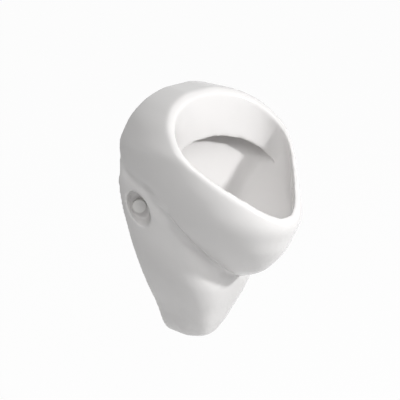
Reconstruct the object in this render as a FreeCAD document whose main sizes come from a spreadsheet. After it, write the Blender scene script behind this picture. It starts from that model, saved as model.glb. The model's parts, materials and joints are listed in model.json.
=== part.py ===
import FreeCAD, Part
import math
import os
import Sketcher

# Wall hung urinal. X runs to the right, -Y out of the wall, Z up, in millimetres.
# The origin lies in the wall plane, midway between the wall holes of the two brackets.

Vector = FreeCAD.Vector
Rotation = FreeCAD.Rotation
os.makedirs("parts", exist_ok=True)
doc = FreeCAD.newDocument("WallHungUrinal")

# ------------------------------------------------------------------ driving dimensions
# rises and drops are measured from the fixing line, reaches from the wall plane
DIMENSIONS = {
    # silhouette against the wall
    "body_width": 318.0,
    "crown_rise": 216.0,
    "girth_rise": 83.0,
    "tail_drop": 305.0,
    "crown_fullness": 2.25,
    "flank_curve": 1.55,
    "tail_taper": 0.80,
    # tail that hides the trap
    "tail_depth": 161.0,
    "toe_depth": 50.0,
    "toe_cut": 15.0,
    "tail_shoulder_drop": 134.0,
    "tail_front_curve": 1.35,
    "tail_front_fullness": 1.45,
    "toe_squareness": 3.6,
    "flank_squareness": 1.75,
    "square_drop": 190.0,
    "slim_drop": 60.0,
    # bowl and rim
    "lip_reach": 300.0,
    "lip_rise": 6.0,
    "rim_back_reach": 61.5,
    "rim_back_rise": 217.5,
    "lip_thickness": 12.0,
    "bowl_keel_drop": 143.0,
    "bowl_centre": 93.5,
    "bowl_front_half_width": 124.5,
    "bowl_full_rise": 125.0,
    "upper_centre": 66.0,
    "flare_pace": 0.65,
    "keel_width_curve": 1.15,
    "keel_width_fullness": 1.46,
    "keel_length_curve": 1.66,
    "keel_length_fullness": 2.66,
    # hood, back wall of the bowl, china thickness
    "hood_height": 90.0,
    "hood_thickness": 11.0,
    "chamber_rise": 186.0,
    "bowl_side_wall": 8.0,
    "bowl_front_wall": 10.0,
    "bowl_floor": 12.0,
    "shell_wall": 10.0,
    "back_wall_level": 111.0,
    "back_wall_reach": 33.0,
    "back_wall_sweep": 22.0,
    "back_wall_half_width": 160.0,
    "back_wall_bulge": 130.0,
    # side pockets, lying on slanted axes 45 degrees to the wall
    "pocket_floor_distance": 98.0,
    "pocket_offset": 71.0,
    "pocket_half_height": 30.0,
    "pocket_half_width": 17.0,
    "pocket_tilt": 20.0,
    "pocket_height_draft": 0.36,
    "pocket_width_draft": 0.16,
    "pocket_lean": 0.10,
    "pocket_wall": 8.0,
    # side fixings
    "screw_hole_radius": 5.0,
    "sleeve_flange_radius": 11.6,
    "sleeve_flange_thickness": 1.5,
    "screw_radius": 2.5,
    "screw_head_radius": 4.7,
    "screw_head_height": 3.2,
    "screw_socket_radius": 2.3,
    "screw_socket_depth": 1.8,
    "screw_tip_length": 6.5,
    "fixing_washer_radius": 7.0,
    "fixing_washer_thickness": 1.0,
    "cap_radius": 13.5,
    "cap_height": 8.0,
    "cap_crown": 1.6,
    "cap_edge_radius": 1.5,
    "cap_gap": 0.3,
    # brackets
    "bracket_height": 44.0,
    "bracket_thickness": 2.5,
    "bracket_leaf_overhang": 15.0,
    "bracket_foot_end": 76.0,
    "wall_hole_offset": 88.0,
    "wall_hole_radius": 4.25,
    "bracket_nut_radius": 4.6,
    "bracket_nut_height": 4.0,
    # waste fitting and strainer
    "waste_reach": 80.0,
    "sump_floor_drop": 125.0,
    "sump_radius": 30.0,
    "sump_depth": 26.0,
    "boss_wall": 11.0,
    "boss_thickness": 20.0,
    "outlet_hole_radius": 24.0,
    "waste_radius": 22.0,
    "waste_wall": 4.0,
    "waste_flange_radius": 28.0,
    "waste_flange_thickness": 6.0,
    "waste_length": 44.0,
    "gasket_thickness": 2.0,
    "strainer_radius": 24.5,
    "strainer_thickness": 3.0,
    "strainer_skirt_radius": 17.8,
    "strainer_skirt_length": 12.0,
    "strainer_skirt_wall": 1.6,
    "strainer_hole_radius": 2.6,
    "strainer_ring_radius": 11.5,
    "strainer_hole_count": 8,
    "strainer_clearance": 0.3,
    "lower_washer_radius": 33.0,
    "lower_washer_thickness": 3.0,
    "waste_nut_radius": 34.0,
    "waste_nut_height": 8.0,
    # trap
    "coupling_radius": 28.0,
    "coupling_gap": 1.0,
    "coupling_lip": 4.0,
    "coupling_seal_thickness": 2.0,
    "tail_pipe_radius": 14.0,
    "tail_pipe_wall": 2.0,
    "tail_pipe_flange_thickness": 3.0,
    "tail_pipe_dip": 10.0,
    "trap_radius": 25.0,
    "trap_wall": 2.5,
    "trap_gap": 2.0,
    "trap_height": 42.0,
    "trap_collar_height": 5.0,
    "trap_seal_radius": 1.5,
    "cup_height": 15.0,
    "cup_skirt": 8.0,
    "cup_wall": 2.5,
    "cup_seal_thickness": 1.5,
    # outlet to the wall
    "outlet_radius": 13.0,
    "outlet_wall": 2.0,
    "outlet_drop": 196.0,
    "stub_end_reach": 42.0,
    "stub_wall": 3.0,
    "outlet_seal_thickness": 3.0,
    "outlet_nut_radius": 23.0,
    "outlet_nut_height": 16.0,
    "outlet_nut_lip": 3.0,
    "outlet_insertion": 10.0,
    "wall_collar_radius": 27.0,
    "wall_collar_thickness": 6.0,
    # water inlet and spreader
    "inlet_rise": 158.0,
    "inlet_radius": 10.5,
    "inlet_wall": 2.5,
    "spigot_radius": 9.5,
    "spigot_length": 11.0,
    "inlet_hole_clearance": 1.5,
    "spot_face_margin": 2.0,
    "spot_face_depth": 8.0,
    "inlet_end_reach": 1.0,
    "spreader_flange_radius": 21.0,
    "spreader_flange_thickness": 4.0,
    "spreader_head_radius": 15.0,
    "spreader_head_length": 16.0,
    "spreader_end_wall": 3.0,
    "spreader_slot_width": 3.0,
    "spreader_slot_margin": 4.0,
    "spreader_slot_count": 7,
    "inlet_washer_thickness": 2.0,
    "inlet_nut_radius": 18.0,
    "inlet_nut_height": 8.0,
    # fits
    "thread_clearance": 0.2,
    "slide_clearance": 0.05,
}

sheet = doc.addObject("Spreadsheet::Sheet", "Sizes")
for row, (alias, value) in enumerate(DIMENSIONS.items(), start=1):
    sheet.set("A%d" % row, alias)
    sheet.set("B%d" % row, str(value))
    sheet.setAlias("B%d" % row, alias)
doc.recompute()


def size(alias):
    """Value of one driving dimension."""
    return float(getattr(sheet, alias))


# ------------------------------------------------------------------ outer form
OVAL_POINTS = 16
KEEL_SHARES = (0.004, 0.03, 0.09, 0.18, 0.30, 0.45, 0.62, 0.80)
FLARE_SHARES = (0.0, 0.2, 0.4, 0.6, 0.8, 1.0)
CROWN_SHARES = (0.25, 0.46, 0.64, 0.78, 0.89, 0.955, 0.99)
TAIL_SHARES = (0.0, 0.03, 0.08, 0.15, 0.25, 0.37, 0.50, 0.64, 0.82, 1.0)
BACK_WALL_SHARES = (0.0, 0.15, 0.3, 0.45, 0.6, 0.75, 1.0)
RIM_SHARES = (0.0015, 0.05, 0.13, 0.24, 0.38, 0.53, 0.68, 0.80, 0.89, 0.95, 0.985)
BEYOND = 600.0
OVERCUT = 1.0


def ease(share):
    """Smooth step from 0 to 1."""
    share = min(max(share, 0.0), 1.0)
    return share * share * (3.0 - 2.0 * share)


def swell(share, curve, fullness):
    """Rises from 0 at share 0 to 1 at share 1, where it runs level."""
    share = min(max(share, 0.0), 1.0)
    return (1.0 - (1.0 - share) ** curve) ** (1.0 / fullness)


def crown_flare():
    """Widening from the wall plane to the crown's middle that keeps the silhouette's width."""
    half_length = size("lip_reach") - size("bowl_centre")
    return 1.0 / math.sqrt(1.0 - (size("upper_centre") / half_length) ** 2)


def outline(level, inset=0.0):
    """Half width of the teardrop silhouette at a level."""
    half = size("body_width") / 2 - inset
    girth = size("girth_rise")
    if level >= girth:
        share = min((level - girth) / (size("crown_rise") - inset - girth), 1.0)
        power = size("crown_fullness")
        return half * (1.0 - share ** power) ** (1.0 / power)
    share = min((girth - level) / (girth + size("tail_drop") - inset), 1.0)
    return half * (1.0 - share ** size("flank_curve")) ** size("tail_taper")


def bowl_section(level, side=0.0, front=0.0, floor=0.0):
    """Half width, half length and centre of the bowl's oval at a level, with insets."""
    keel = -size("bowl_keel_drop") + floor
    lip = size("lip_rise")
    full = size("bowl_full_rise")
    climb = min(max((level - lip) / (full - lip), 0.0), 1.0)
    blend = ease(climb ** size("flare_pace"))
    centre = size("bowl_centre") + (size("upper_centre") - size("bowl_centre")) * blend
    half_length = size("lip_reach") - size("bowl_centre") - front
    narrow = size("bowl_front_half_width") - side
    if level <= lip:
        rise = (level - keel) / (lip - keel)
        narrow *= swell(rise, size("keel_width_curve"), size("keel_width_fullness"))
        half_length *= swell(rise, size("keel_length_curve"), size("keel_length_fullness"))
        return narrow, half_length, centre
    if level >= full:
        return crown_flare() * outline(level, side), half_length, centre
    wide = crown_flare() * outline(full, side)
    return narrow + (wide - narrow) * blend, half_length, centre


def tail_section(level, inset=0.0):
    """Half width, depth and squareness of the section that houses the trap."""
    bottom = -size("tail_drop") + inset
    shoulder = -size("tail_shoulder_drop")
    rise = (level - bottom) / (shoulder - bottom)
    swollen = swell(rise, size("tail_front_curve"), size("tail_front_fullness"))
    depth = size("toe_depth") + (size("tail_depth") - size("toe_depth")) * swollen
    slim = ease((level + size("square_drop")) / (size("square_drop") - size("slim_drop")))
    square = size("toe_squareness") + (size("flank_squareness") - size("toe_squareness")) * slim
    return outline(level, inset), depth - inset, square


def oval(level, half_width, half_length, centre, square=2.0):
    """Closed oval in a horizontal plane, always starting on its +X side."""
    points = []
    for step in range(OVAL_POINTS):
        angle = 2 * math.pi * step / OVAL_POINTS
        cosine = math.cos(angle)
        sine = math.sin(angle)
        across = math.copysign(abs(cosine) ** (2 / square), cosine)
        along = math.copysign(abs(sine) ** (2 / square), sine)
        points.append(Vector(half_width * across, half_length * along - centre, level))
    curve = Part.BSplineCurve()
    curve.interpolate(points, PeriodicFlag=True)
    return Part.Wire(curve.toShape())


def spread(low, high, shares):
    """Levels at the given shares of the way from low to high."""
    return [low + (high - low) * share for share in shares]


def bowl_form(side=0.0, front=0.0, floor=0.0):
    """The bowl and the crown as one smooth body of ovals."""
    lip = size("lip_rise")
    full = size("bowl_full_rise")
    levels = spread(-size("bowl_keel_drop") + floor, lip, KEEL_SHARES)
    levels += spread(lip, full, FLARE_SHARES)
    levels += spread(full, size("crown_rise") - side, CROWN_SHARES)
    wires = [oval(level, *bowl_section(level, side, front, floor)) for level in levels]
    return Part.makeLoft(wires, True, False)


def tail_form(inset=0.0):
    """The wall body and the tail, rounded sections about the wall plane."""
    toe = -size("tail_drop") + size("toe_cut") + inset
    levels = spread(toe, size("bowl_full_rise"), TAIL_SHARES)
    wires = []
    for level in levels:
        half_width, depth, square = tail_section(level, inset)
        wires.append(oval(level, half_width, depth, 0.0, square))
    return Part.makeLoft(wires, True, False)


def back_wall_form(offset=0.0):
    """Everything in front of the bowl's back wall, which sweeps forward towards the outlet."""
    straight = size("back_wall_level")
    bulge = size("back_wall_bulge")
    bottom = -size("bowl_keel_drop") - 2 * size("bowl_floor")
    top = size("crown_rise") + size("bowl_floor")
    wires = []
    for level in spread(bottom, top, BACK_WALL_SHARES):
        drop = max(straight - level, 0.0) / (straight + size("bowl_keel_drop"))
        reach = size("back_wall_reach") - offset + size("back_wall_sweep") * drop ** 2
        wires.append(oval(level, size("back_wall_half_width"), bulge, reach + bulge))
    return Part.makeLoft(wires, True, False)


def rim_run():
    return size("lip_reach") - size("rim_back_reach")


def rim_fall():
    return size("rim_back_rise") - size("lip_rise")


def above_rim_plane(lowered=0.0):
    """A slab over the slanting rim plane, lowered by the given height."""
    slab = Part.makeBox(2 * BEYOND, 2 * BEYOND, BEYOND, Vector(-BEYOND, -BEYOND, 0))
    slant = math.degrees(math.atan2(rim_fall(), rim_run()))
    slab.rotate(Vector(0, 0, 0), Vector(1, 0, 0), slant)
    slab.translate(Vector(0, -size("rim_back_reach"), size("rim_back_rise") - lowered))
    return slab


def mouth_prism(inset):
    """Upright prism through the mouth, drawn inside the rim's outer edge."""
    right = []
    for level in spread(size("lip_rise"), size("crown_rise"), RIM_SHARES):
        drop = size("rim_back_rise") - level
        reach = size("rim_back_reach") + drop * rim_run() / rim_fall()
        half_width, half_length, centre = bowl_section(level)
        bow = min(abs(reach - centre) / half_length, 1.0)
        right.append(Vector(half_width * math.sqrt(1.0 - bow ** 2), -reach, 0))
    left = [Vector(-point.x, point.y, 0) for point in reversed(right)]
    middle = Vector(0, -(size("lip_reach") + size("rim_back_reach")) / 2, 0)
    points = []
    for point in right + left:
        arm = point - middle
        points.append(middle + arm * (1.0 - inset / arm.Length))
    curve = Part.BSplineCurve()
    curve.interpolate(points, PeriodicFlag=True)
    face = Part.Face(Part.Wire(curve.toShape()))
    face.translate(Vector(0, 0, -BEYOND))
    return face.extrude(Vector(0, 0, 2 * BEYOND))


def in_front_of_wall(top=BEYOND, back=0.0):
    """Everything on the room's side of the wall plane, up to a level."""
    return Part.makeBox(2 * BEYOND, BEYOND + back, BEYOND + top, Vector(-BEYOND, -BEYOND, -BEYOND))


# ------------------------------------------------------------------ slanted fixing axes
def slanted(side, distance, offset, level=0.0):
    """Point at a distance along a fixing axis; side is -1 on the left, +1 on the right."""
    half_root = math.sqrt(0.5)
    across = side * (distance + offset) * half_root
    return Vector(across, (offset - distance) * half_root, level)


def slanted_placement(side, distance):
    """Local Z along the fixing axis, pointing out of the pocket."""
    turn = Rotation(Vector(0, 0, 1), Vector(side, -1, 0))
    return FreeCAD.Placement(slanted(side, distance, size("pocket_offset")), turn)


def pocket_form(side, grow=0.0):
    """Tapered oval recess round a fixing axis, parallel to the body's flank."""
    out = Vector(side, -1, 0).normalize()
    along = Vector(side, 1, 0).normalize()
    tilt = math.radians(size("pocket_tilt"))
    tall = along * math.sin(tilt) + Vector(0, 0, math.cos(tilt))
    wide = along * math.cos(tilt) - Vector(0, 0, math.sin(tilt))
    wires = []
    for travel in (-grow, size("body_width") / 4):
        centre = out * (size("pocket_floor_distance") + travel)
        centre = centre + along * (size("pocket_offset") + travel * size("pocket_lean"))
        half_height = size("pocket_half_height") + grow + travel * size("pocket_height_draft")
        half_width = size("pocket_half_width") + grow + travel * size("pocket_width_draft")
        curve = Part.Ellipse(centre + tall * half_height, centre + wide * half_width, centre)
        wires.append(Part.Wire(curve.toShape()))
    return Part.makeLoft(wires, True, True)


def upright_cylinder(radius, low, high, reach):
    return Part.makeCylinder(radius, high - low, Vector(0, -reach, low))


# ------------------------------------------------------------------ ceramic body
def bowl_cavity():
    """Mouth inside the hood, bowl below it, and the flush chamber behind it."""
    lined = bowl_form(size("bowl_side_wall"), size("bowl_front_wall"), size("bowl_floor"))
    lined = lined.common(back_wall_form())
    above_hood_edge = above_rim_plane(size("hood_height"))
    lip = size("lip_thickness")
    hood = above_hood_edge.cut(mouth_prism(lip))
    chamber = lined.common(above_hood_edge).common(in_front_of_wall(size("chamber_rise")))
    chamber = chamber.cut(mouth_prism(lip - size("hood_thickness")))
    return lined.cut(hood).fuse(chamber)


def back_hollow(kept):
    """Open back of the casting, clear of the bowl's shell and of everything kept."""
    shell = size("shell_wall")
    room = in_front_of_wall(back=OVERCUT)
    hollow = bowl_form(shell, shell, shell).fuse(tail_form(shell)).common(room)
    bowl_shell = bowl_form().common(back_wall_form(shell))
    return hollow.cut([bowl_shell] + kept)


def ceramic_shape():
    sump_floor = -size("sump_floor_drop")
    boss_low = sump_floor - size("boss_thickness")
    waste_reach = size("waste_reach")
    boss_radius = size("sump_radius") + size("boss_wall")
    boss_high = sump_floor + size("sump_depth")
    kept = [upright_cylinder(boss_radius, boss_low, boss_high, waste_reach)]
    kept += [pocket_form(side, size("pocket_wall")) for side in (-1, 1)]
    outer = bowl_form().fuse(tail_form()).common(in_front_of_wall())
    outer = outer.cut(above_rim_plane())
    holes = [bowl_cavity(), back_hollow(kept)]
    holes += [pocket_form(side) for side in (-1, 1)]
    holes.append(upright_cylinder(size("sump_radius"), sump_floor, boss_high, waste_reach))
    holes.append(upright_cylinder(size("outlet_hole_radius"), boss_low - OVERCUT,
                                  sump_floor + OVERCUT, waste_reach))
    floor = size("pocket_floor_distance")
    for side in (-1, 1):
        start = slanted(side, floor - 2 * size("pocket_wall"), size("pocket_offset"))
        hole = Part.makeCylinder(size("screw_hole_radius"), 3 * size("pocket_wall"), start,
                                 Vector(side, -1, 0))
        holes.append(hole)
    out = Vector(0, -1, 0)
    inlet = Vector(0, 0, size("inlet_rise"))
    inlet_hole = size("inlet_radius") + size("inlet_hole_clearance")
    holes.append(Part.makeCylinder(inlet_hole, size("back_wall_reach") + OVERCUT, inlet, out))
    seat = inlet + out * size("back_wall_reach")
    spot_face = size("spreader_flange_radius") + size("spot_face_margin")
    holes.append(Part.makeCylinder(spot_face, size("spot_face_depth"), seat, out))
    for hole in holes:
        outer = outer.cut(hole)
    return outer


ceramic = doc.addObject("Part::Feature", "CeramicBody")
ceramic.Label = "ceramic_body"
ceramic.Shape = ceramic_shape()


# ------------------------------------------------------------------ building blocks
def cylinder(radius, start, length):
    """Cylinder on the local Z axis, each size an expression of the sheet."""
    item = doc.addObject("Part::Cylinder", "Cylinder")
    item.setExpression("Radius", radius)
    item.setExpression("Height", length)
    item.setExpression("Placement.Base.z", start)
    return item


def through(radius, length, start="0"):
    """Bore that runs past both ends of a stretch, as (radius, start, length)."""
    return radius, "%s - %s" % (start, OVERCUT), "%s + %s" % (length, 2 * OVERCUT)


def joined(items):
    if len(items) == 1:
        return items[0]
    union = doc.addObject("Part::MultiFuse", "Union")
    union.Shapes = items
    return union


def turned(label, outside, inside=(), extra=()):
    """Turned piece: stacked cylinders less stacked bores, each (radius, start, length)."""
    solid = joined([cylinder(*step) for step in outside] + list(extra))
    if not inside:
        solid.Label = label
        return solid
    piece = doc.addObject("Part::Cut", "Turned")
    piece.Base = solid
    piece.Tool = joined([cylinder(*step) for step in inside])
    piece.Label = label
    return piece


def hexagon(radius, start, length):
    item = doc.addObject("Part::Prism", "Hexagon")
    item.Polygon = 6
    item.setExpression("Circumradius", radius)
    item.setExpression("Height", length)
    item.setExpression("Placement.Base.z", start)
    return item


def hex_nut(label, radius, length, bores):
    """Hexagon nut with stacked bores, standing on the local Z axis."""
    nut = doc.addObject("Part::Cut", "Nut")
    nut.Base = hexagon(radius, "0", length)
    nut.Tool = joined([cylinder(*bore) for bore in bores])
    nut.Label = label
    return nut


def upright(piece, level):
    """On the outlet's upright axis, its local zero at a level."""
    piece.setExpression("Placement.Base.y", "-Sizes.waste_reach")
    piece.setExpression("Placement.Base.z", level)
    return piece


def towards_wall(piece, reach, level):
    """Local Z pointing into the wall, its local zero at a reach."""
    piece.Placement = FreeCAD.Placement(Vector(0, 0, 0), Rotation(Vector(1, 0, 0), -90))
    piece.setExpression("Placement.Base.y", "-(" + reach + ")")
    piece.setExpression("Placement.Base.z", level)
    return piece


def origin_plane(body, role):
    return next(item for item in body.Origin.OriginFeatures if item.Role == role)


def sketch_on(body, plane, name):
    sketch = body.newObject("Sketcher::SketchObject", name)
    sketch.AttachmentSupport = (plane, [""])
    sketch.MapMode = "FlatFace"
    return sketch


def drive(sketch, kind, numbers, expression):
    """One dimension of a sketch, driven by the sheet."""
    index = sketch.addConstraint(Sketcher.Constraint(kind, *numbers))
    sketch.setExpression("Constraints[%d]" % index, expression)


def ring_sketch(body, plane, name, radii):
    """Concentric circles about the sketch's origin."""
    sketch = sketch_on(body, plane, name)
    for order, radius in enumerate(radii):
        start = float(len(radii) - order)
        circle = sketch.addGeometry(Part.Circle(Vector(0, 0, 0), Vector(0, 0, 1), start))
        sketch.addConstraint(Sketcher.Constraint("Coincident", circle, 3, -1, 1))
        drive(sketch, "Radius", (circle, start), radius)
    return sketch


def pad(body, sketch, name, length):
    feature = body.newObject("PartDesign::Pad", name)
    feature.Profile = sketch
    feature.setExpression("Length", length)
    return feature


def pocket(body, sketch, name, length, reverse=False):
    feature = body.newObject("PartDesign::Pocket", name)
    feature.Profile = sketch
    feature.Reversed = reverse
    feature.setExpression("Length", length)
    return feature


# ------------------------------------------------------------------ side fixings
FLOOR = "Sizes.pocket_floor_distance"


def fixing_screw(label):
    """Pan head with a hexagon socket over a shank that reaches through the nut."""
    seat = "Sizes.sleeve_flange_thickness + Sizes.fixing_washer_thickness"
    shank = seat + " + Sizes.pocket_wall + Sizes.bracket_thickness + Sizes.screw_tip_length"
    head = "Sizes.screw_head_height"
    blank = turned("ScrewBlank",
                   [("Sizes.screw_radius", seat + " - (" + shank + ")", shank + " + " + head),
                    ("Sizes.screw_head_radius", seat, head)])
    screw = doc.addObject("Part::Cut", "FixingScrew")
    screw.Base = blank
    screw.Tool = hexagon("Sizes.screw_socket_radius",
                         seat + " + " + head + " - Sizes.screw_socket_depth", head)
    screw.Label = label
    return screw


def fixing_washer(label):
    start = "Sizes.sleeve_flange_thickness"
    thickness = "Sizes.fixing_washer_thickness"
    return turned(label, [("Sizes.fixing_washer_radius", start, thickness)],
                  [through("Sizes.screw_radius + Sizes.thread_clearance", thickness, start)])


def fixing_sleeve(label):
    """Flanged plastic sleeve that lines the china's screw hole."""
    low = "-(Sizes.pocket_wall - Sizes.thread_clearance)"
    flange = "Sizes.sleeve_flange_thickness"
    length = "Sizes.pocket_wall - Sizes.thread_clearance + " + flange
    return turned(label,
                  [("Sizes.screw_hole_radius - Sizes.thread_clearance", low, length),
                   ("Sizes.sleeve_flange_radius", "0", flange)],
                  [through("Sizes.screw_radius + Sizes.thread_clearance", length, low)])


def screw_cap(label):
    """White cap: a turned cup with a crowned edge, pushed over the sleeve's flange."""
    body = doc.addObject("PartDesign::Body", "ScrewCap")
    body.Label = label
    outer = ring_sketch(body, origin_plane(body, "XY_Plane"), "CapOutline", ["Sizes.cap_radius"])
    pad(body, outer, "CapBlank", "Sizes.cap_height")
    bore = ring_sketch(body, origin_plane(body, "XY_Plane"), "CapBore",
                       ["Sizes.sleeve_flange_radius + Sizes.slide_clearance"])
    cup = pocket(body, bore, "CapHollow", "Sizes.cap_height - Sizes.cap_crown", reverse=True)
    doc.recompute()
    crown = body.newObject("PartDesign::Fillet", "CapCrown")
    crown.Base = (cup, [top_edge(cup.Shape)])
    crown.setExpression("Radius", "Sizes.cap_edge_radius")
    return body


def top_edge(shape):
    """Name of the round edge that lies highest."""
    rounds = [(edge.CenterOfMass.z, number) for number, edge in enumerate(shape.Edges, start=1)
              if edge.Closed and edge.Curve.TypeId == "Part::GeomCircle"]
    return "Edge%d" % max(rounds)[1]


def bracket_nut(label):
    return hex_nut(label, "Sizes.bracket_nut_radius", "Sizes.bracket_nut_height",
                   [through("Sizes.screw_radius + Sizes.slide_clearance",
                            "Sizes.bracket_nut_height")])


def fixing_bracket(side, label):
    """Bent plate: a foot on the wall and a slanted leaf behind the pocket's floor."""
    front = size("pocket_floor_distance") - size("pocket_wall")
    rear = front - size("bracket_thickness")
    free_end = size("pocket_offset") - size("bracket_leaf_overhang")
    thickness = size("bracket_thickness")
    inner_bend = Vector(side * (rear * math.sqrt(2.0) - thickness), -thickness, 0)
    foot_end = side * size("bracket_foot_end")
    corners = [slanted(side, front, free_end), slanted(side, front, front),
               Vector(foot_end, 0, 0), Vector(foot_end, -thickness, 0), inner_bend,
               slanted(side, rear, free_end)]
    outline_wire = Part.makePolygon(corners + corners[:1])
    plate = Part.Face(outline_wire).extrude(Vector(0, 0, size("bracket_height")))
    plate.translate(Vector(0, 0, -size("bracket_height") / 2))
    wall_hole = Part.makeCylinder(size("wall_hole_radius"), 3 * thickness,
                                  Vector(side * size("wall_hole_offset"), thickness, 0),
                                  Vector(0, -1, 0))
    screw_hole = Part.makeCylinder(size("screw_radius") + size("thread_clearance"),
                                   3 * thickness,
                                   slanted(side, rear - thickness, size("pocket_offset")),
                                   Vector(side, -1, 0))
    bracket = doc.addObject("Part::Feature", "FixingBracket")
    bracket.Label = label
    bracket.Shape = plate.cut(wall_hole).cut(screw_hole)
    return bracket


pieces = [ceramic]
for side, hand in ((-1, "left"), (1, "right")):
    floor = size("pocket_floor_distance")
    nut_rear = floor - size("pocket_wall") - size("bracket_thickness")
    nut_rear -= size("bracket_nut_height")
    pieces.append(fixing_bracket(side, "fixing_bracket_" + hand))
    on_axis = [(fixing_screw("fixing_screw_" + hand), floor),
               (fixing_washer("fixing_washer_" + hand), floor),
               (fixing_sleeve("fixing_sleeve_" + hand), floor),
               (screw_cap("screw_cap_" + hand), floor + size("cap_gap")),
               (bracket_nut("bracket_nut_" + hand), nut_rear)]
    for piece, distance in on_axis:
        piece.Placement = slanted_placement(side, distance)
        pieces.append(piece)


# ------------------------------------------------------------------ waste fitting
SUMP = "-Sizes.sump_floor_drop"
BOSS = "-Sizes.sump_floor_drop - Sizes.boss_thickness"
WASTE_TOP = SUMP + " + Sizes.gasket_thickness"
BORE = "Sizes.waste_radius - Sizes.waste_wall"
NUT_LOW = BOSS + " - Sizes.lower_washer_thickness - Sizes.waste_nut_height"
WASTE_END = WASTE_TOP + " - Sizes.waste_length"
FITTED = "Sizes.waste_radius + Sizes.thread_clearance"


def waste_body():
    """Flanged threaded tube with a recess for the strainer, local zero under the flange."""
    flange = "Sizes.waste_flange_thickness"
    whole = "Sizes.waste_length + " + flange
    body = turned("waste_body",
                  [("Sizes.waste_flange_radius", "0", flange),
                   ("Sizes.waste_radius", "-Sizes.waste_length", whole)],
                  [through(BORE, whole, "-Sizes.waste_length"),
                   ("Sizes.strainer_radius + Sizes.strainer_clearance",
                    flange + " - Sizes.strainer_thickness", flange)])
    return upright(body, WASTE_TOP)


def strainer():
    """Lift-out disc with a ring of round holes and a skirt that drops into the waste."""
    body = doc.addObject("PartDesign::Body", "Strainer")
    body.Label = "strainer"
    base = origin_plane(body, "XY_Plane")
    pad(body, ring_sketch(body, base, "Disc", ["Sizes.strainer_radius"]), "Plate",
        "Sizes.strainer_thickness")
    skirt = ring_sketch(body, base, "Skirt",
                        ["Sizes.strainer_skirt_radius",
                         "Sizes.strainer_skirt_radius - Sizes.strainer_skirt_wall"])
    skirt_pad = pad(body, skirt, "SkirtWall", "Sizes.strainer_skirt_length")
    skirt_pad.Reversed = True
    pocket(body, ring_sketch(body, base, "Middle", ["Sizes.strainer_hole_radius"]), "MiddleHole",
           "Sizes.strainer_thickness", reverse=True)
    holes = sketch_on(body, base, "Hole")
    radius = size("strainer_hole_radius")
    ring_radius = size("strainer_ring_radius")
    circle = holes.addGeometry(Part.Circle(Vector(ring_radius, 0, 0), Vector(0, 0, 1), radius))
    holes.addConstraint(Sketcher.Constraint("PointOnObject", circle, 3, -1))
    drive(holes, "Radius", (circle, radius), "Sizes.strainer_hole_radius")
    drive(holes, "DistanceX", (-1, 1, circle, 3, ring_radius), "Sizes.strainer_ring_radius")
    cut = pocket(body, holes, "RingHole", "Sizes.strainer_thickness", reverse=True)
    ring = body.newObject("PartDesign::PolarPattern", "RingHoles")
    ring.Originals = [cut]
    ring.Axis = (origin_plane(body, "Z_Axis"), [""])
    ring.Angle = 360
    ring.setExpression("Occurrences", "Sizes.strainer_hole_count")
    body.Tip = ring
    return upright(body, WASTE_TOP + " + Sizes.waste_flange_thickness - Sizes.strainer_thickness")


def washer(label, outer, bore, thickness):
    return turned(label, [(outer, "0", thickness)], [through(bore, thickness)])


pieces.append(upright(washer("waste_gasket", "Sizes.waste_flange_radius", FITTED,
                             "Sizes.gasket_thickness"), SUMP))
pieces.append(waste_body())
pieces.append(strainer())
pieces.append(upright(washer("waste_lower_washer", "Sizes.lower_washer_radius", FITTED,
                             "Sizes.lower_washer_thickness"),
                      BOSS + " - Sizes.lower_washer_thickness"))
pieces.append(upright(hex_nut("waste_locknut", "Sizes.waste_nut_radius",
                              "Sizes.waste_nut_height",
                              [through(FITTED, "Sizes.waste_nut_height")]), NUT_LOW))


# ------------------------------------------------------------------ trap
PIPE_BORE = "Sizes.tail_pipe_radius - Sizes.tail_pipe_wall"
PIPE_FIT = "Sizes.tail_pipe_radius + Sizes.thread_clearance"
FLANGE_LOW = (WASTE_END + " - Sizes.coupling_seal_thickness"
              " - Sizes.tail_pipe_flange_thickness")
COUPLING_LOW = FLANGE_LOW + " - Sizes.coupling_lip"
TRAP_TOP = COUPLING_LOW + " - Sizes.trap_gap"
TRAP_LOW = TRAP_TOP + " - Sizes.trap_height"
TRAP_BORE = "Sizes.trap_radius - Sizes.trap_wall"


def trap_coupling_nut():
    """Nut that draws the tail pipe's flange up against the waste, local zero at its lip."""
    height = NUT_LOW + " - Sizes.coupling_gap - (" + COUPLING_LOW + ")"
    nut = hex_nut("trap_coupling_nut", "Sizes.coupling_radius", height,
                  [through(PIPE_FIT, height),
                   (FITTED, "Sizes.coupling_lip", height)])
    return upright(nut, COUPLING_LOW)


def tail_pipe():
    """Flanged pipe that dips into the trap's water, local zero under its flange."""
    dip = ("Sizes.coupling_lip + Sizes.trap_gap + Sizes.trap_height"
           " - Sizes.tail_pipe_dip + Sizes.cup_height - Sizes.cup_skirt")
    flange = "Sizes.tail_pipe_flange_thickness"
    whole = dip + " + " + flange
    low = "-(" + dip + ")"
    pipe = turned("trap_tail_pipe",
                  [("Sizes.waste_radius", "0", flange), ("Sizes.tail_pipe_radius", low, whole)],
                  [through(PIPE_BORE, whole, low)])
    return upright(pipe, FLANGE_LOW)


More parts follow.
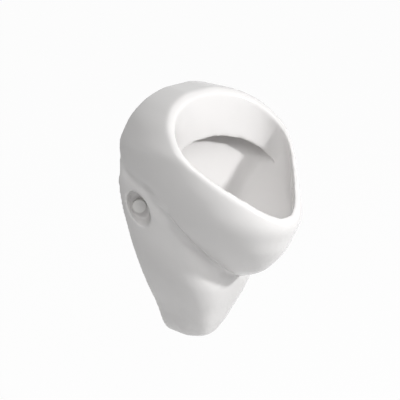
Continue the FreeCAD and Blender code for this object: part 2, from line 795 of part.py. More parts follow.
def trap_body():
    """Bottle with an open foot, a collar round the tail pipe and a side stub to the wall."""
    height = "Sizes.trap_height"
    level = "-Sizes.outlet_drop - (" + TRAP_LOW + ")"
    stub_outer = "Sizes.outlet_radius + Sizes.thread_clearance + Sizes.stub_wall"
    stub_length = "Sizes.waste_reach - Sizes.stub_end_reach"
    stub = cylinder(stub_outer, "0", stub_length)
    stub.Placement = FreeCAD.Placement(Vector(0, 0, 0), Rotation(Vector(1, 0, 0), -90))
    stub.setExpression("Placement.Base.z", level)
    shell = turned("TrapShell", [("Sizes.trap_radius", "0", height)], extra=[stub])
    outlet_bore = cylinder("Sizes.outlet_radius + Sizes.thread_clearance", "0",
                           stub_length + " + Sizes.stub_wall")
    outlet_bore.Placement = stub.Placement
    outlet_bore.setExpression("Placement.Base.z", level)
    room = cylinder(TRAP_BORE, "-Sizes.trap_wall", height)
    neck = cylinder(PIPE_FIT, "0", height + " + Sizes.trap_wall")
    seal_groove = cylinder("Sizes.tail_pipe_radius + Sizes.trap_seal_radius",
                           height + " - Sizes.trap_wall - Sizes.trap_collar_height",
                           "Sizes.trap_collar_height")
    body = doc.addObject("Part::Cut", "TrapBody")
    body.Base = shell
    body.Tool = joined([outlet_bore, room, neck, seal_groove])
    body.Label = "trap_body"
    return upright(body, TRAP_LOW)


def trap_cup():
    """Screwed cup under the bottle, local zero at the end of its skirt's overlap."""
    inner = "Sizes.trap_radius + Sizes.thread_clearance"
    depth = "Sizes.cup_height - Sizes.cup_wall"
    cup = turned("trap_cup",
                 [(inner + " + Sizes.cup_wall", "-Sizes.cup_height", "Sizes.cup_height")],
                 [(inner, "-Sizes.cup_skirt", "2 * Sizes.cup_skirt"),
                  (TRAP_BORE, "-(" + depth + ")", depth)])
    return upright(cup, TRAP_LOW + " + Sizes.cup_skirt - Sizes.cup_seal_thickness")


pieces.append(trap_coupling_nut())
pieces.append(upright(washer("trap_coupling_seal", "Sizes.waste_radius", BORE,
                             "Sizes.coupling_seal_thickness"),
                      WASTE_END + " - Sizes.coupling_seal_thickness"))
pieces.append(tail_pipe())
pieces.append(trap_body())
pieces.append(upright(washer("trap_neck_seal", "Sizes.tail_pipe_radius + Sizes.trap_gap * 2",
                             "Sizes.tail_pipe_radius", "Sizes.trap_gap"), TRAP_TOP))
pieces.append(trap_cup())
pieces.append(upright(washer("trap_cup_seal", "Sizes.trap_radius", TRAP_BORE,
                             "Sizes.cup_seal_thickness"),
                      TRAP_LOW + " - Sizes.cup_seal_thickness"))


# ------------------------------------------------------------------ outlet to the wall
OUTLET = "-Sizes.outlet_drop"
STUB_RADIUS = "Sizes.outlet_radius + Sizes.thread_clearance + Sizes.stub_wall"
SEAL_END = "Sizes.stub_end_reach - Sizes.outlet_seal_thickness"


def outlet_nut():
    """Nut that squeezes the seal on the stub's end, local zero at its open side."""
    nut = hex_nut("trap_outlet_nut", "Sizes.outlet_nut_radius", "Sizes.outlet_nut_height",
                  [(STUB_RADIUS + " + Sizes.thread_clearance", "-Sizes.outlet_nut_lip",
                    "Sizes.outlet_nut_height"),
                   through("Sizes.outlet_radius + Sizes.thread_clearance",
                           "Sizes.outlet_nut_height")])
    return towards_wall(nut, SEAL_END + " + Sizes.outlet_nut_height - Sizes.outlet_nut_lip",
                        OUTLET)


pieces.append(outlet_nut())
pieces.append(towards_wall(washer("trap_outlet_seal", STUB_RADIUS,
                                  "Sizes.outlet_radius + Sizes.slide_clearance",
                                  "Sizes.outlet_seal_thickness"),
                           "Sizes.stub_end_reach", OUTLET))
PIPE_LENGTH = "Sizes.stub_end_reach + Sizes.outlet_insertion"
pieces.append(towards_wall(turned("outlet_pipe",
                                  [("Sizes.outlet_radius", "0", PIPE_LENGTH)],
                                  [through("Sizes.outlet_radius - Sizes.outlet_wall",
                                           PIPE_LENGTH)]),
                           PIPE_LENGTH, OUTLET))
pieces.append(towards_wall(washer("wall_collar", "Sizes.wall_collar_radius",
                                  "Sizes.outlet_radius + Sizes.slide_clearance",
                                  "Sizes.wall_collar_thickness"),
                           "Sizes.wall_collar_thickness", OUTLET))


# ------------------------------------------------------------------ water inlet
INLET = "Sizes.inlet_rise"
INLET_FIT = "Sizes.inlet_radius + Sizes.thread_clearance"
CHINA_BACK = "Sizes.back_wall_reach - Sizes.shell_wall"
SPREADER_SEAT = "Sizes.back_wall_reach + Sizes.inlet_washer_thickness"


def inlet_spreader():
    """Threaded inlet with a spigot, a flange and a slotted head, zero on the flange's seat."""
    out = "Sizes.spreader_flange_thickness"
    tail = SPREADER_SEAT + " - Sizes.inlet_end_reach"
    head = "Sizes.spreader_head_length"
    plain = turned("SpreaderBlank",
                   [("Sizes.inlet_radius", "0", tail + " - Sizes.spigot_length"),
                    ("Sizes.spigot_radius", "0", tail),
                    ("Sizes.spreader_flange_radius", "-" + out, out),
                    ("Sizes.spreader_head_radius", "-" + head, head)],
                   [("Sizes.inlet_radius - Sizes.inlet_wall",
                     "-(" + head + ") + Sizes.spreader_end_wall", head + " + " + tail)])
    slots = []
    count = int(size("spreader_slot_count"))
    for number in range(count):
        slot = doc.addObject("Part::Box", "SpreaderSlot")
        slot.setExpression("Length", "Sizes.spreader_slot_width")
        slot.setExpression("Width", "2 * Sizes.spreader_head_radius")
        slot.setExpression("Height", "(" + head + " - " + out + ") / 2")
        angle = 180.0 + (number - (count - 1) / 2) * 180.0 / count
        slot.Placement.Rotation = Rotation(Vector(0, 0, 1), angle)
        slot.setExpression("Placement.Base.z", "-(" + head + ") + Sizes.spreader_slot_margin")
        slots.append(slot)
    spreader = doc.addObject("Part::Cut", "InletSpreader")
    spreader.Base = plain
    spreader.Tool = joined(slots)
    spreader.Label = "inlet_spreader"
    return towards_wall(spreader, SPREADER_SEAT, INLET)


pieces.append(inlet_spreader())
pieces.append(towards_wall(washer("inlet_front_washer", "Sizes.spreader_flange_radius",
                                  INLET_FIT, "Sizes.inlet_washer_thickness"),
                           SPREADER_SEAT, INLET))
pieces.append(towards_wall(washer("inlet_rear_washer", "Sizes.inlet_nut_radius", INLET_FIT,
                                  "Sizes.inlet_washer_thickness"),
                           CHINA_BACK, INLET))
pieces.append(towards_wall(hex_nut("inlet_locknut", "Sizes.inlet_nut_radius",
                                   "Sizes.inlet_nut_height",
                                   [through(INLET_FIT, "Sizes.inlet_nut_height")]),
                           CHINA_BACK + " - Sizes.inlet_washer_thickness", INLET))

# ------------------------------------------------------------------ build, test and write
doc.recompute()
for item in doc.Objects:
    if "Invalid" in item.State or "Error" in item.State:
        raise RuntimeError(item.Label + " did not build")
for piece in pieces:
    if piece.Shape.isNull() or not piece.Shape.isValid():
        raise RuntimeError(piece.Label + " has no valid shape")
for piece in pieces:
    piece.Shape.exportStep("parts/" + piece.Label + ".step")
    print(piece.Label, len(piece.Shape.Solids), round(piece.Shape.Volume / 1000.0, 2))
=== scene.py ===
import json
import math
import bpy
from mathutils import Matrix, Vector


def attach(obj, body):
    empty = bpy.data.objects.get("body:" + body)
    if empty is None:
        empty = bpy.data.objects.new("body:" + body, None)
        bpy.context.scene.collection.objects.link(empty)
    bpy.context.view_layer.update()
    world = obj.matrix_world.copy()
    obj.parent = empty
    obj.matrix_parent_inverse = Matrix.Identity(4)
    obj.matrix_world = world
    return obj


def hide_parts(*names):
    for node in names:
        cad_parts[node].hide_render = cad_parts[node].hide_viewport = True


# wall hung urinal: glazed casting, side fixings, waste and bottle trap, water inlet; all in metres
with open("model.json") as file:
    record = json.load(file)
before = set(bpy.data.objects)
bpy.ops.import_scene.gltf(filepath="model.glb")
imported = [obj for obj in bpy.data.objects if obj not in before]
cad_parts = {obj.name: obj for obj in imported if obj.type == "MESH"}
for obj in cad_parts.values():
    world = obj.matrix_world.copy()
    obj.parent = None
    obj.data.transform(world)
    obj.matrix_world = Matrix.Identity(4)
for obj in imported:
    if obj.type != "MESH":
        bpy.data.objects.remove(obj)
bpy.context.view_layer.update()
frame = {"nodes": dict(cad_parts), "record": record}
nodes = frame["nodes"]
print("frame loaded,", len(nodes), "nodes")


def deselectAll():
    if bpy.context.object and bpy.context.object.mode != "OBJECT":
        bpy.ops.object.mode_set(mode="OBJECT")
    bpy.ops.object.select_all(action="DESELECT")


def pick(obj):
    deselectAll()
    obj.select_set(True)
    bpy.context.view_layer.objects.active = obj


def applyModifier(obj, name, kind, **values):  # adds a modifier, sets it and bakes it in
    pick(obj)
    modifier = obj.modifiers.new(name, kind)
    for key, value in values.items():
        setattr(modifier, key, value)
    bpy.ops.object.modifier_apply(modifier=name)


def addNode(tree, kind, **values):
    node = tree.nodes.new(kind)
    for key, value in values.items():
        setattr(node, key, value)
    return node


def newGroup(name, inputs, outputs):
    group = bpy.data.node_groups.new(name, "ShaderNodeTree")
    for label, kind, value in inputs:
        socket = group.interface.new_socket(name=label, in_out="INPUT", socket_type=kind)
        socket.default_value = value
    for label, kind in outputs:
        group.interface.new_socket(name=label, in_out="OUTPUT", socket_type=kind)
    start = group.nodes.new("NodeGroupInput")
    end = group.nodes.new("NodeGroupOutput")
    return group, start, end


def spread(tree, value, low, high):  # maps a 0..1 value to low..high
    node = addNode(tree, "ShaderNodeMapRange")
    tree.links.new(value, node.inputs["Value"])
    for label, number in (("To Min", low), ("To Max", high)):
        if isinstance(number, (int, float)):
            node.inputs[label].default_value = number
        else:
            tree.links.new(number, node.inputs[label])
    return node.outputs["Result"]


def addTexture(tree, kind, place, **inputs):
    texture = addNode(tree, kind)
    for label, value in inputs.items():
        texture.inputs[label].default_value = value
    tree.links.new(place, texture.inputs["Vector"])
    return texture


def mixColours(tree, factor, first, second):
    mix = addNode(tree, "ShaderNodeMix", data_type="RGBA")
    tree.links.new(factor, mix.inputs["Factor"])
    tree.links.new(first, mix.inputs["A"])
    tree.links.new(second, mix.inputs["B"])
    return mix.outputs["Result"]


# fired glaze: slow tone drift, faint orange peel, scattered pin marks
glazeLook = {
    "driftScale": 7.0, "driftDetail": 2.0, "driftShare": 0.7,
    "peelScale": 140.0, "peelDetail": 1.5, "peelHeight": (0.4, 0.6), "peelRoughness": (-0.02, 0.03),
    "pinScale": 42.0, "pinRadius": (0.012, 0.03),
}


def makeGlazeGroup():
    group, start, end = newGroup(
        "firedGlaze",
        [("Colour", "NodeSocketColor", (0.8, 0.8, 0.8, 1)),
         ("Pooled Colour", "NodeSocketColor", (0.7, 0.7, 0.7, 1)),
         ("Roughness", "NodeSocketFloat", 0.12)],
        [("Colour", "NodeSocketColor"), ("Roughness", "NodeSocketFloat"),
         ("Height", "NodeSocketFloat")])
    place = addNode(group, "ShaderNodeTexCoord").outputs["Object"]
    drift = addTexture(group, "ShaderNodeTexNoise", place, Scale=glazeLook["driftScale"],
                       Detail=glazeLook["driftDetail"])
    peel = addTexture(group, "ShaderNodeTexNoise", place, Scale=glazeLook["peelScale"],
                      Detail=glazeLook["peelDetail"])
    pins = addTexture(group, "ShaderNodeTexVoronoi", place, Scale=glazeLook["pinScale"])
    pinMask = addNode(group, "ShaderNodeMapRange")  # 0 inside a pin mark, 1 around it
    pinMask.inputs["From Min"].default_value = glazeLook["pinRadius"][0]
    pinMask.inputs["From Max"].default_value = glazeLook["pinRadius"][1]
    group.links.new(pins.outputs["Distance"], pinMask.inputs["Value"])
    pooled = spread(group, drift.outputs["Fac"], 0.0, glazeLook["driftShare"])
    tone = mixColours(group, pooled, start.outputs["Colour"], start.outputs["Pooled Colour"])
    rough = addNode(group, "ShaderNodeMath", operation="ADD")
    group.links.new(start.outputs["Roughness"], rough.inputs[0])
    group.links.new(spread(group, peel.outputs["Fac"], *glazeLook["peelRoughness"]), rough.inputs[1])
    height = addNode(group, "ShaderNodeMath", operation="MULTIPLY")
    group.links.new(spread(group, peel.outputs["Fac"], *glazeLook["peelHeight"]), height.inputs[0])
    group.links.new(pinMask.outputs["Result"], height.inputs[1])
    group.links.new(tone, end.inputs["Colour"])
    group.links.new(rough.outputs["Value"], end.inputs["Roughness"])
    group.links.new(height.outputs["Value"], end.inputs["Height"])
    return group


# moulded or machined grain: stretched noise that moves colour, roughness and height
grainLook = {"detail": 3.0, "cloudScale": 30.0, "depth": 0.0004}


def makeGrainGroup():
    group, start, end = newGroup(
        "fineGrain",
        [("Colour", "NodeSocketColor", (0.5, 0.5, 0.5, 1)),
         ("Worn Colour", "NodeSocketColor", (0.4, 0.4, 0.4, 1)),
         ("Roughness", "NodeSocketFloat", 0.4), ("Spread", "NodeSocketFloat", 0.1),
         ("Scale", "NodeSocketFloat", 200.0), ("Stretch", "NodeSocketVector", (1, 1, 1))],
        [("Colour", "NodeSocketColor"), ("Roughness", "NodeSocketFloat"),
         ("Height", "NodeSocketFloat")])
    place = addNode(group, "ShaderNodeTexCoord").outputs["Object"]
    stretched = addNode(group, "ShaderNodeVectorMath", operation="MULTIPLY")
    group.links.new(place, stretched.inputs[0])
    group.links.new(start.outputs["Stretch"], stretched.inputs[1])
    grain = addTexture(group, "ShaderNodeTexNoise", stretched.outputs["Vector"],
                       Detail=grainLook["detail"])
    group.links.new(start.outputs["Scale"], grain.inputs["Scale"])
    clouds = addTexture(group, "ShaderNodeTexNoise", place, Scale=grainLook["cloudScale"])
    tone = mixColours(group, clouds.outputs["Fac"], start.outputs["Colour"],
                      start.outputs["Worn Colour"])
    high = addNode(group, "ShaderNodeMath", operation="ADD")
    group.links.new(start.outputs["Roughness"], high.inputs[0])
    group.links.new(start.outputs["Spread"], high.inputs[1])
    rough = spread(group, grain.outputs["Fac"], start.outputs["Roughness"], high.outputs["Value"])
    group.links.new(tone, end.inputs["Colour"])
    group.links.new(rough, end.inputs["Roughness"])
    group.links.new(grain.outputs["Fac"], end.inputs["Height"])
    return group


glazeGroup = makeGlazeGroup()
grainGroup = makeGrainGroup()


def newFinish(name):
    material = bpy.data.materials.new(name)
    material.use_nodes = True
    return material, material.node_tree, material.node_tree.nodes["Principled BSDF"]


def bumpFrom(tree, height, shader, strength, distance):
    bump = addNode(tree, "ShaderNodeBump")
    bump.inputs["Strength"].default_value = strength
    bump.inputs["Distance"].default_value = distance
    tree.links.new(height, bump.inputs["Height"])
    tree.links.new(bump.outputs["Normal"], shader.inputs["Normal"])


# glazed china, raw and rough where it stands against the wall
chinaFinish = {
    "glaze": (0.835, 0.822, 0.815, 1), "pooled": (0.80, 0.787, 0.78, 1), "roughness": 0.22,
    "raw": (0.74, 0.71, 0.66, 1), "rawRoughness": 0.75, "rawDepth": -0.0012, "rawBlend": 0.0008,
    "ior": 1.5, "coat": 0.15, "coatRoughness": 0.08, "relief": 0.12, "reliefDepth": 0.0003,
}


def makeChinaFinish():
    material, tree, shader = newFinish("glazedChina")
    glaze = addNode(tree, "ShaderNodeGroup", node_tree=glazeGroup)
    glaze.inputs["Colour"].default_value = chinaFinish["glaze"]
    glaze.inputs["Pooled Colour"].default_value = chinaFinish["pooled"]
    glaze.inputs["Roughness"].default_value = chinaFinish["roughness"]
    place = addNode(tree, "ShaderNodeSeparateXYZ")
    tree.links.new(addNode(tree, "ShaderNodeTexCoord").outputs["Object"], place.inputs["Vector"])
    raw = addNode(tree, "ShaderNodeMapRange")
    raw.inputs["From Min"].default_value = chinaFinish["rawDepth"] - chinaFinish["rawBlend"]
    raw.inputs["From Max"].default_value = chinaFinish["rawDepth"]
    tree.links.new(place.outputs["Y"], raw.inputs["Value"])
    colour = addNode(tree, "ShaderNodeMix", data_type="RGBA")
    tree.links.new(raw.outputs["Result"], colour.inputs["Factor"])
    tree.links.new(glaze.outputs["Colour"], colour.inputs["A"])
    colour.inputs["B"].default_value = chinaFinish["raw"]
    rough = addNode(tree, "ShaderNodeMix")
    tree.links.new(raw.outputs["Result"], rough.inputs["Factor"])
    tree.links.new(glaze.outputs["Roughness"], rough.inputs["A"])
    rough.inputs["B"].default_value = chinaFinish["rawRoughness"]
    coat = spread(tree, raw.outputs["Result"], chinaFinish["coat"], 0.0)
    tree.links.new(colour.outputs["Result"], shader.inputs["Base Color"])
    tree.links.new(rough.outputs["Result"], shader.inputs["Roughness"])
    tree.links.new(coat, shader.inputs["Coat Weight"])
    shader.inputs["Coat Roughness"].default_value = chinaFinish["coatRoughness"]
    shader.inputs["IOR"].default_value = chinaFinish["ior"]
    bumpFrom(tree, glaze.outputs["Height"], shader, chinaFinish["relief"],
             chinaFinish["reliefDepth"])
    return material


grainFinishes = {
    "whiteCapPlastic": {
        "Colour": (0.83, 0.825, 0.81, 1), "Worn Colour": (0.80, 0.79, 0.77, 1), "Roughness": 0.28,
        "Spread": 0.10, "Scale": 260.0, "Stretch": (1, 1, 1), "metal": 0.0, "relief": 0.05},
    "zincPlatedSteel": {
        "Colour": (0.60, 0.61, 0.62, 1), "Worn Colour": (0.52, 0.53, 0.56, 1), "Roughness": 0.30,
        "Spread": 0.22, "Scale": 90.0, "Stretch": (1, 1, 1), "metal": 1.0, "relief": 0.08},
    "brushedStainless": {
        "Colour": (0.66, 0.66, 0.66, 1), "Worn Colour": (0.58, 0.58, 0.58, 1), "Roughness": 0.22,
        "Spread": 0.20, "Scale": 120.0, "Stretch": (1, 1, 14), "metal": 1.0, "relief": 0.10},
    "naturalNylon": {
        "Colour": (0.74, 0.73, 0.69, 1), "Worn Colour": (0.70, 0.68, 0.63, 1), "Roughness": 0.42,
        "Spread": 0.12, "Scale": 240.0, "Stretch": (1, 1, 1), "metal": 0.0, "relief": 0.08},
    "brightChrome": {
        "Colour": (0.78, 0.79, 0.80, 1), "Worn Colour": (0.72, 0.73, 0.75, 1), "Roughness": 0.06,
        "Spread": 0.05, "Scale": 160.0, "Stretch": (1, 1, 1), "metal": 1.0, "relief": 0.02},
    "turnedBrass": {
        "Colour": (0.72, 0.55, 0.26, 1), "Worn Colour": (0.58, 0.43, 0.20, 1), "Roughness": 0.24,
        "Spread": 0.18, "Scale": 140.0, "Stretch": (1, 10, 1), "metal": 1.0, "relief": 0.10},
    "blackRubber": {
        "Colour": (0.035, 0.035, 0.036, 1), "Worn Colour": (0.055, 0.054, 0.052, 1),
        "Roughness": 0.62, "Spread": 0.18, "Scale": 320.0, "Stretch": (1, 1, 1), "metal": 0.0,
        "relief": 0.20},
    "whitePolypropylene": {
        "Colour": (0.78, 0.78, 0.76, 1), "Worn Colour": (0.74, 0.74, 0.71, 1), "Roughness": 0.34,
        "Spread": 0.12, "Scale": 220.0, "Stretch": (1, 1, 1), "metal": 0.0, "relief": 0.08},
}


def makeGrainFinish(name):
    look = grainFinishes[name]
    material, tree, shader = newFinish(name)
    grain = addNode(tree, "ShaderNodeGroup", node_tree=grainGroup)
    for socket in grain.inputs:
        socket.default_value = look[socket.name]
    tree.links.new(grain.outputs["Colour"], shader.inputs["Base Color"])
    tree.links.new(grain.outputs["Roughness"], shader.inputs["Roughness"])
    shader.inputs["Metallic"].default_value = look["metal"]
    bumpFrom(tree, grain.outputs["Height"], shader, look["relief"], grainLook["depth"])
    return material


finishes = {name: makeGrainFinish(name) for name in grainFinishes}
finishes["glazedChina"] = makeChinaFinish()
finishOfSlot = {
    "china": "glazedChina", "cap_plastic": "whiteCapPlastic", "zinc_steel": "zincPlatedSteel",
    "stainless": "brushedStainless", "sleeve_plastic": "naturalNylon",
    "chromed_brass": "brightChrome", "brass": "turnedBrass", "rubber": "blackRubber",
    "trap_plastic": "whitePolypropylene",
}
print("finishes made")


def paint(obj, finish):
    obj.data.materials.clear()
    obj.data.materials.append(finishes[finish])


# the casting, with the soft edges of poured and glazed china
casting = {
    "mergeDistance": 0.00002, "voxel": 0.0024, "triangles": 180000,
    # round toe of the tail: height of each ring, its spread and how far up the tail follows
    "toeRings": ((-0.280, (1.16, 1.08, 1.0), 0.085), (-0.2865, (1.12, 1.04, 1.0), 0.035)),
    "heelTop": -0.264, "heelFront": -0.055, "heelDrop": 0.011, "heelReach": 0.032,
    "soleLevel": -0.2895,
    # soft valley between bowl and tail, from the pocket down to the front; its ends in y and z
    "foldStart": (-0.066, 0.040), "foldEnd": (-0.158, -0.128), "foldWidth": 0.012,
    "foldDepth": 0.0075, "foldFade": 0.035, "foldSide": 0.25,
    # places eased more than the rest: flank above the pocket, hood edge, toe, and the lip, whose
    # plane runs through two places in y and z
    "flankHeights": (0.055, 0.135), "flankFront": -0.060, "flankOut": 0.115,
    "hoodHeights": (0.045, 0.150), "hoodDepths": (-0.120, -0.035),
    "lipFront": (-0.300, 0.006), "lipBack": (-0.0615, 0.2175), "lipDepth": 0.011,
    "toeEased": -0.276, "easeBlend": 0.012, "easeSteps": 30,
    # softening of everything, less around the caps so that the pockets keep their edge
    "softFactor": 0.5, "softSteps": 12, "pocketReach": (0.030, 0.050), "pocketShare": 0.40,
    "leastWeight": 0.01,
}


def ramp(value, low, high):  # 0 below low, 1 above high
    return max(0.0, min(1.0, (value - low) / (high - low)))


def within(value, low, high):  # 1 between low and high, fading inwards from both
    blend = casting["easeBlend"]
    return ramp(value, low, low + blend) * (1.0 - ramp(value, high - blend, high))


def fromLine(place, start, end):  # length of a line in y and z, a place along it and across it
    runY = end[0] - start[0]
    runZ = end[1] - start[1]
    length = math.hypot(runY, runZ)
    along = ((place.y - start[0]) * runY + (place.z - start[1]) * runZ) / length
    across = ((place.y - start[0]) * runZ - (place.z - start[1]) * runY) / length
    return length, along, across


def foldWeight(place, normal):  # 1 along the valley, on the outside of both flanks
    length, along, across = fromLine(place, casting["foldStart"], casting["foldEnd"])
    fade = casting["foldFade"]
    ends = ramp(along, -fade, fade) * ramp(length + fade - along, 0.0, fade)
    outward = ramp(normal.x * math.copysign(1.0, place.x), 0.0, casting["foldSide"])
    return math.exp(-(across / casting["foldWidth"]) ** 2) * ends * outward


def easeWeight(place, normal):  # 1 where cuts and thin edges show the voxels
    blend = casting["easeBlend"]
    flank = (within(place.z, *casting["flankHeights"])
             * ramp(place.y, casting["flankFront"], casting["flankFront"] + blend)
             * ramp(abs(place.x), casting["flankOut"], casting["flankOut"] + blend))
    hood = within(place.z, *casting["hoodHeights"]) * within(place.y, *casting["hoodDepths"])
    offPlane = fromLine(place, casting["lipFront"], casting["lipBack"])[2]
    lip = 1.0 - ramp(abs(offPlane), 0.0, casting["lipDepth"])
    toe = 1.0 - ramp(place.z, casting["toeEased"] - blend, casting["toeEased"])
    return max(flank, hood, lip, toe)


capCentres = []
for side in ("left", "right"):
    corners = [Vector(corner) for corner in nodes["screw_cap_" + side].bound_box]
    capCentres.append(sum(corners, Vector()) / len(corners))


def softWeight(place, normal):  # less around the caps
    near = min((place - centre).length for centre in capCentres)
    share = casting["pocketShare"]
    return share + (1.0 - share) * ramp(near, *casting["pocketReach"])


def weigh(obj, name, rule):
    group = obj.vertex_groups.new(name=name)
    for vertex in obj.data.vertices:
        weight = rule(vertex.co, vertex.normal)
        if weight > casting["leastWeight"]:
            group.add([vertex.index], weight, "REPLACE")


def reshape(obj, rule, operator, **values):  # one transform of the points that a rule picks
    pick(obj)
    bpy.ops.object.mode_set(mode="EDIT")
    bpy.ops.mesh.select_all(action="DESELECT")
    bpy.ops.object.mode_set(mode="OBJECT")
    for vertex in obj.data.vertices:
        vertex.select = rule(vertex.co)
    bpy.ops.object.mode_set(mode="EDIT")
    operator(**values)
    bpy.ops.object.mode_set(mode="OBJECT")


def following(reach):  # neighbours within reach move along smoothly
    return {"use_proportional_edit": True, "proportional_edit_falloff": "SMOOTH",
            "proportional_size": reach}


def roundToe(obj):
    for level, amount, reach in casting["toeRings"]:  # the lowest rings are spread
        reshape(obj, lambda place: place.z < level, bpy.ops.transform.resize, value=amount,
                center_override=(0.0, 0.0, level), **following(reach))
    # the heel at the wall comes down, and the sole is levelled
    reshape(obj, lambda place: place.z < casting["heelTop"] and place.y > casting["heelFront"],
            bpy.ops.transform.translate, value=(0.0, 0.0, -casting["heelDrop"]),
            **following(casting["heelReach"]))
    sole = casting["soleLevel"]
    reshape(obj, lambda place: place.z < sole, bpy.ops.transform.resize, value=(1.0, 1.0, 0.0),
            center_override=(0.0, 0.0, sole))


def makeCasting():
    source = nodes["ceramic_body"]
    body = source.copy()
    body.data = source.data.copy()
    body.name = "glazed_casting"
    bpy.context.scene.collection.objects.link(body)
    body.parent = None
    body.matrix_world.identity()
    pick(body)
    bpy.ops.object.mode_set(mode="EDIT")
    bpy.ops.mesh.select_all(action="SELECT")
    bpy.ops.mesh.remove_doubles(threshold=casting["mergeDistance"])
    bpy.ops.object.mode_set(mode="OBJECT")
    applyModifier(body, "slip", "REMESH", mode="VOXEL", voxel_size=casting["voxel"])
    roundToe(body)
    weigh(body, "fold", foldWeight)
    applyModifier(body, "valley", "DISPLACE", strength=-casting["foldDepth"], mid_level=0.0,
                  vertex_group="fold")
    weigh(body, "eased", easeWeight)
    applyModifier(body, "ease", "SMOOTH", factor=casting["softFactor"],
                  iterations=casting["easeSteps"], vertex_group="eased")
    weigh(body, "soft", softWeight)
    applyModifier(body, "soften", "SMOOTH", factor=casting["softFactor"],
                  iterations=casting["softSteps"], vertex_group="soft")
    faces = sum(len(face.vertices) - 2 for face in body.data.polygons)
    if faces > casting["triangles"]:
        applyModifier(body, "thin", "DECIMATE", ratio=casting["triangles"] / faces)
    pick(body)
    bpy.ops.object.shade_smooth()
    paint(body, "glazedChina")
    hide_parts("ceramic_body")
    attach(body, "urinal")
    print("casting:", faces, "triangles before thinning,", len(body.data.polygons), "faces")


makeCasting()

# CAD pieces that stay: their finishes, with a fine bevel on turned and bent edges
keptEdge = {"weld": 0.00002, "width": 0.0004, "segments": 2, "angle": 32.0}


def dressNode(name, finish):
    obj = nodes[name]
    paint(obj, finish)
    weld = obj.modifiers.new("weld", "WELD")
    weld.merge_threshold = keptEdge["weld"]
    bevel = obj.modifiers.new("edge", "BEVEL")
    bevel.width = keptEdge["width"]
    bevel.segments = keptEdge["segments"]
    bevel.limit_method = "ANGLE"
    bevel.angle_limit = math.radians(keptEdge["angle"])
    bevel.harden_normals = True


for subpart in frame["record"]["subparts"]:
    if subpart["node"] != "ceramic_body":
        dressNode(subpart["node"], finishOfSlot[subpart["material_slot"]])
print("kept nodes dressed")


# floor, lights and world
stageSettings = {
    "floorLevel": -0.62, "floorSize": 30.0, "floorColour": (1.0, 1.0, 1.0, 1),
    "floorRoughness": 0.9, "floorGlow": 0.97,
    "worldLight": 0.06, "worldColour": (1.0, 0.995, 0.985, 1),
    "lampMiddle": (0.0, -0.12, 0.0),  # what every lamp points at
}
lamps = {
    "keyLamp": {"place": (0.38, -2.02, 1.04), "size": 0.16, "power": 34.0},
    "shoulderLamp": {"place": (-0.78, -1.467, 1.556), "size": 0.9, "power": 13.0},
    "edgeLamp": {"place": (-1.5, -0.523, 1.556), "size": 0.8, "power": 8.5},
    "farLamp": {"place": (1.966, -0.836, 0.68), "size": 0.6, "power": 2.5},
}


def seenRays(tree):  # 1 for rays that see the background directly, in metal or through glass
    path = addNode(tree, "ShaderNodeLightPath")
    total = path.outputs["Is Camera Ray"]
    for label in ("Is Glossy Ray", "Is Transmission Ray"):
        add = addNode(tree, "ShaderNodeMath", operation="MAXIMUM")
        tree.links.new(total, add.inputs[0])
        tree.links.new(path.outputs[label], add.inputs[1])
        total = add.outputs["Value"]
    return total


def makeFloor():
    deselectAll()
    bpy.ops.mesh.primitive_plane_add(size=stageSettings["floorSize"],
                                     location=(0, 0, stageSettings["floorLevel"]))
    floor = bpy.context.object
    floor.name = "pale_floor"
    material, tree, shader = newFinish("paleFloor")
    shader.inputs["Base Color"].default_value = stageSettings["floorColour"]
    shader.inputs["Roughness"].default_value = stageSettings["floorRoughness"]
    glow = addNode(tree, "ShaderNodeEmission")
    mix = addNode(tree, "ShaderNodeMixShader")
    share = addNode(tree, "ShaderNodeMath", operation="MULTIPLY")
    share.inputs[1].default_value = stageSettings["floorGlow"]
    tree.links.new(seenRays(tree), share.inputs[0])
    tree.links.new(share.outputs["Value"], mix.inputs["Fac"])
    tree.links.new(shader.outputs["BSDF"], mix.inputs[1])
    tree.links.new(glow.outputs["Emission"], mix.inputs[2])
    tree.links.new(mix.outputs["Shader"], tree.nodes["Material Output"].inputs["Surface"])
    floor.data.materials.append(material)


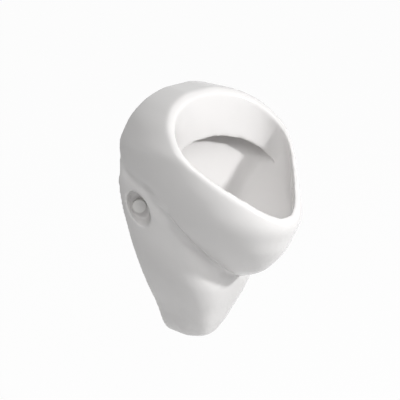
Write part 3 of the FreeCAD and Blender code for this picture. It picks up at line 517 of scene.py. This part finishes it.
def makeWorld():
    world = bpy.data.worlds.new("paleRoom")
    world.use_nodes = True
    tree = world.node_tree
    light = tree.nodes["Background"]
    light.inputs["Color"].default_value = stageSettings["worldColour"]
    light.inputs["Strength"].default_value = stageSettings["worldLight"]
    seen = addNode(tree, "ShaderNodeBackground")
    seen.inputs["Color"].default_value = (1, 1, 1, 1)
    mix = addNode(tree, "ShaderNodeMixShader")
    tree.links.new(seenRays(tree), mix.inputs["Fac"])
    tree.links.new(light.outputs["Background"], mix.inputs[1])
    tree.links.new(seen.outputs["Background"], mix.inputs[2])
    tree.links.new(mix.outputs["Shader"], tree.nodes["World Output"].inputs["Surface"])
    bpy.context.scene.world = world


def addLamp(name):
    data = bpy.data.lights.new(name, "AREA")
    data.size = lamps[name]["size"]
    data.energy = lamps[name]["power"]
    lamp = bpy.data.objects.new(name, data)
    bpy.context.scene.collection.objects.link(lamp)
    lamp.location = lamps[name]["place"]
    towards = Vector(stageSettings["lampMiddle"]) - lamp.location
    lamp.rotation_euler = towards.to_track_quat("-Z", "Y").to_euler()


makeFloor()
makeWorld()
for lampName in lamps:
    addLamp(lampName)
print("stage lit")

# camera at the photograph's angle
cameraSettings = {
    "azimuth": -45.0, "elevation": 19.0, "lens": 135.0, "sensor": 36.0, "frameWidth": 0.781,
    "centre": (0.0, -0.0635, -0.008),
}


def makeCamera():
    data = bpy.data.cameras.new("photoCamera")
    data.lens = cameraSettings["lens"]
    data.sensor_width = cameraSettings["sensor"]
    azimuth = math.radians(cameraSettings["azimuth"])
    elevation = math.radians(cameraSettings["elevation"])
    back = Vector((math.sin(azimuth) * math.cos(elevation),
                   -math.cos(azimuth) * math.cos(elevation), math.sin(elevation)))
    distance = cameraSettings["frameWidth"] * data.lens / data.sensor_width
    camera = bpy.data.objects.new("photoCamera", data)
    bpy.context.scene.collection.objects.link(camera)
    centre = Vector(cameraSettings["centre"])
    camera.location = centre + back * distance
    camera.rotation_euler = (-back).to_track_quat("-Z", "Y").to_euler()
    bpy.context.scene.camera = camera


makeCamera()
bpy.context.scene.view_settings.view_transform = "Standard"
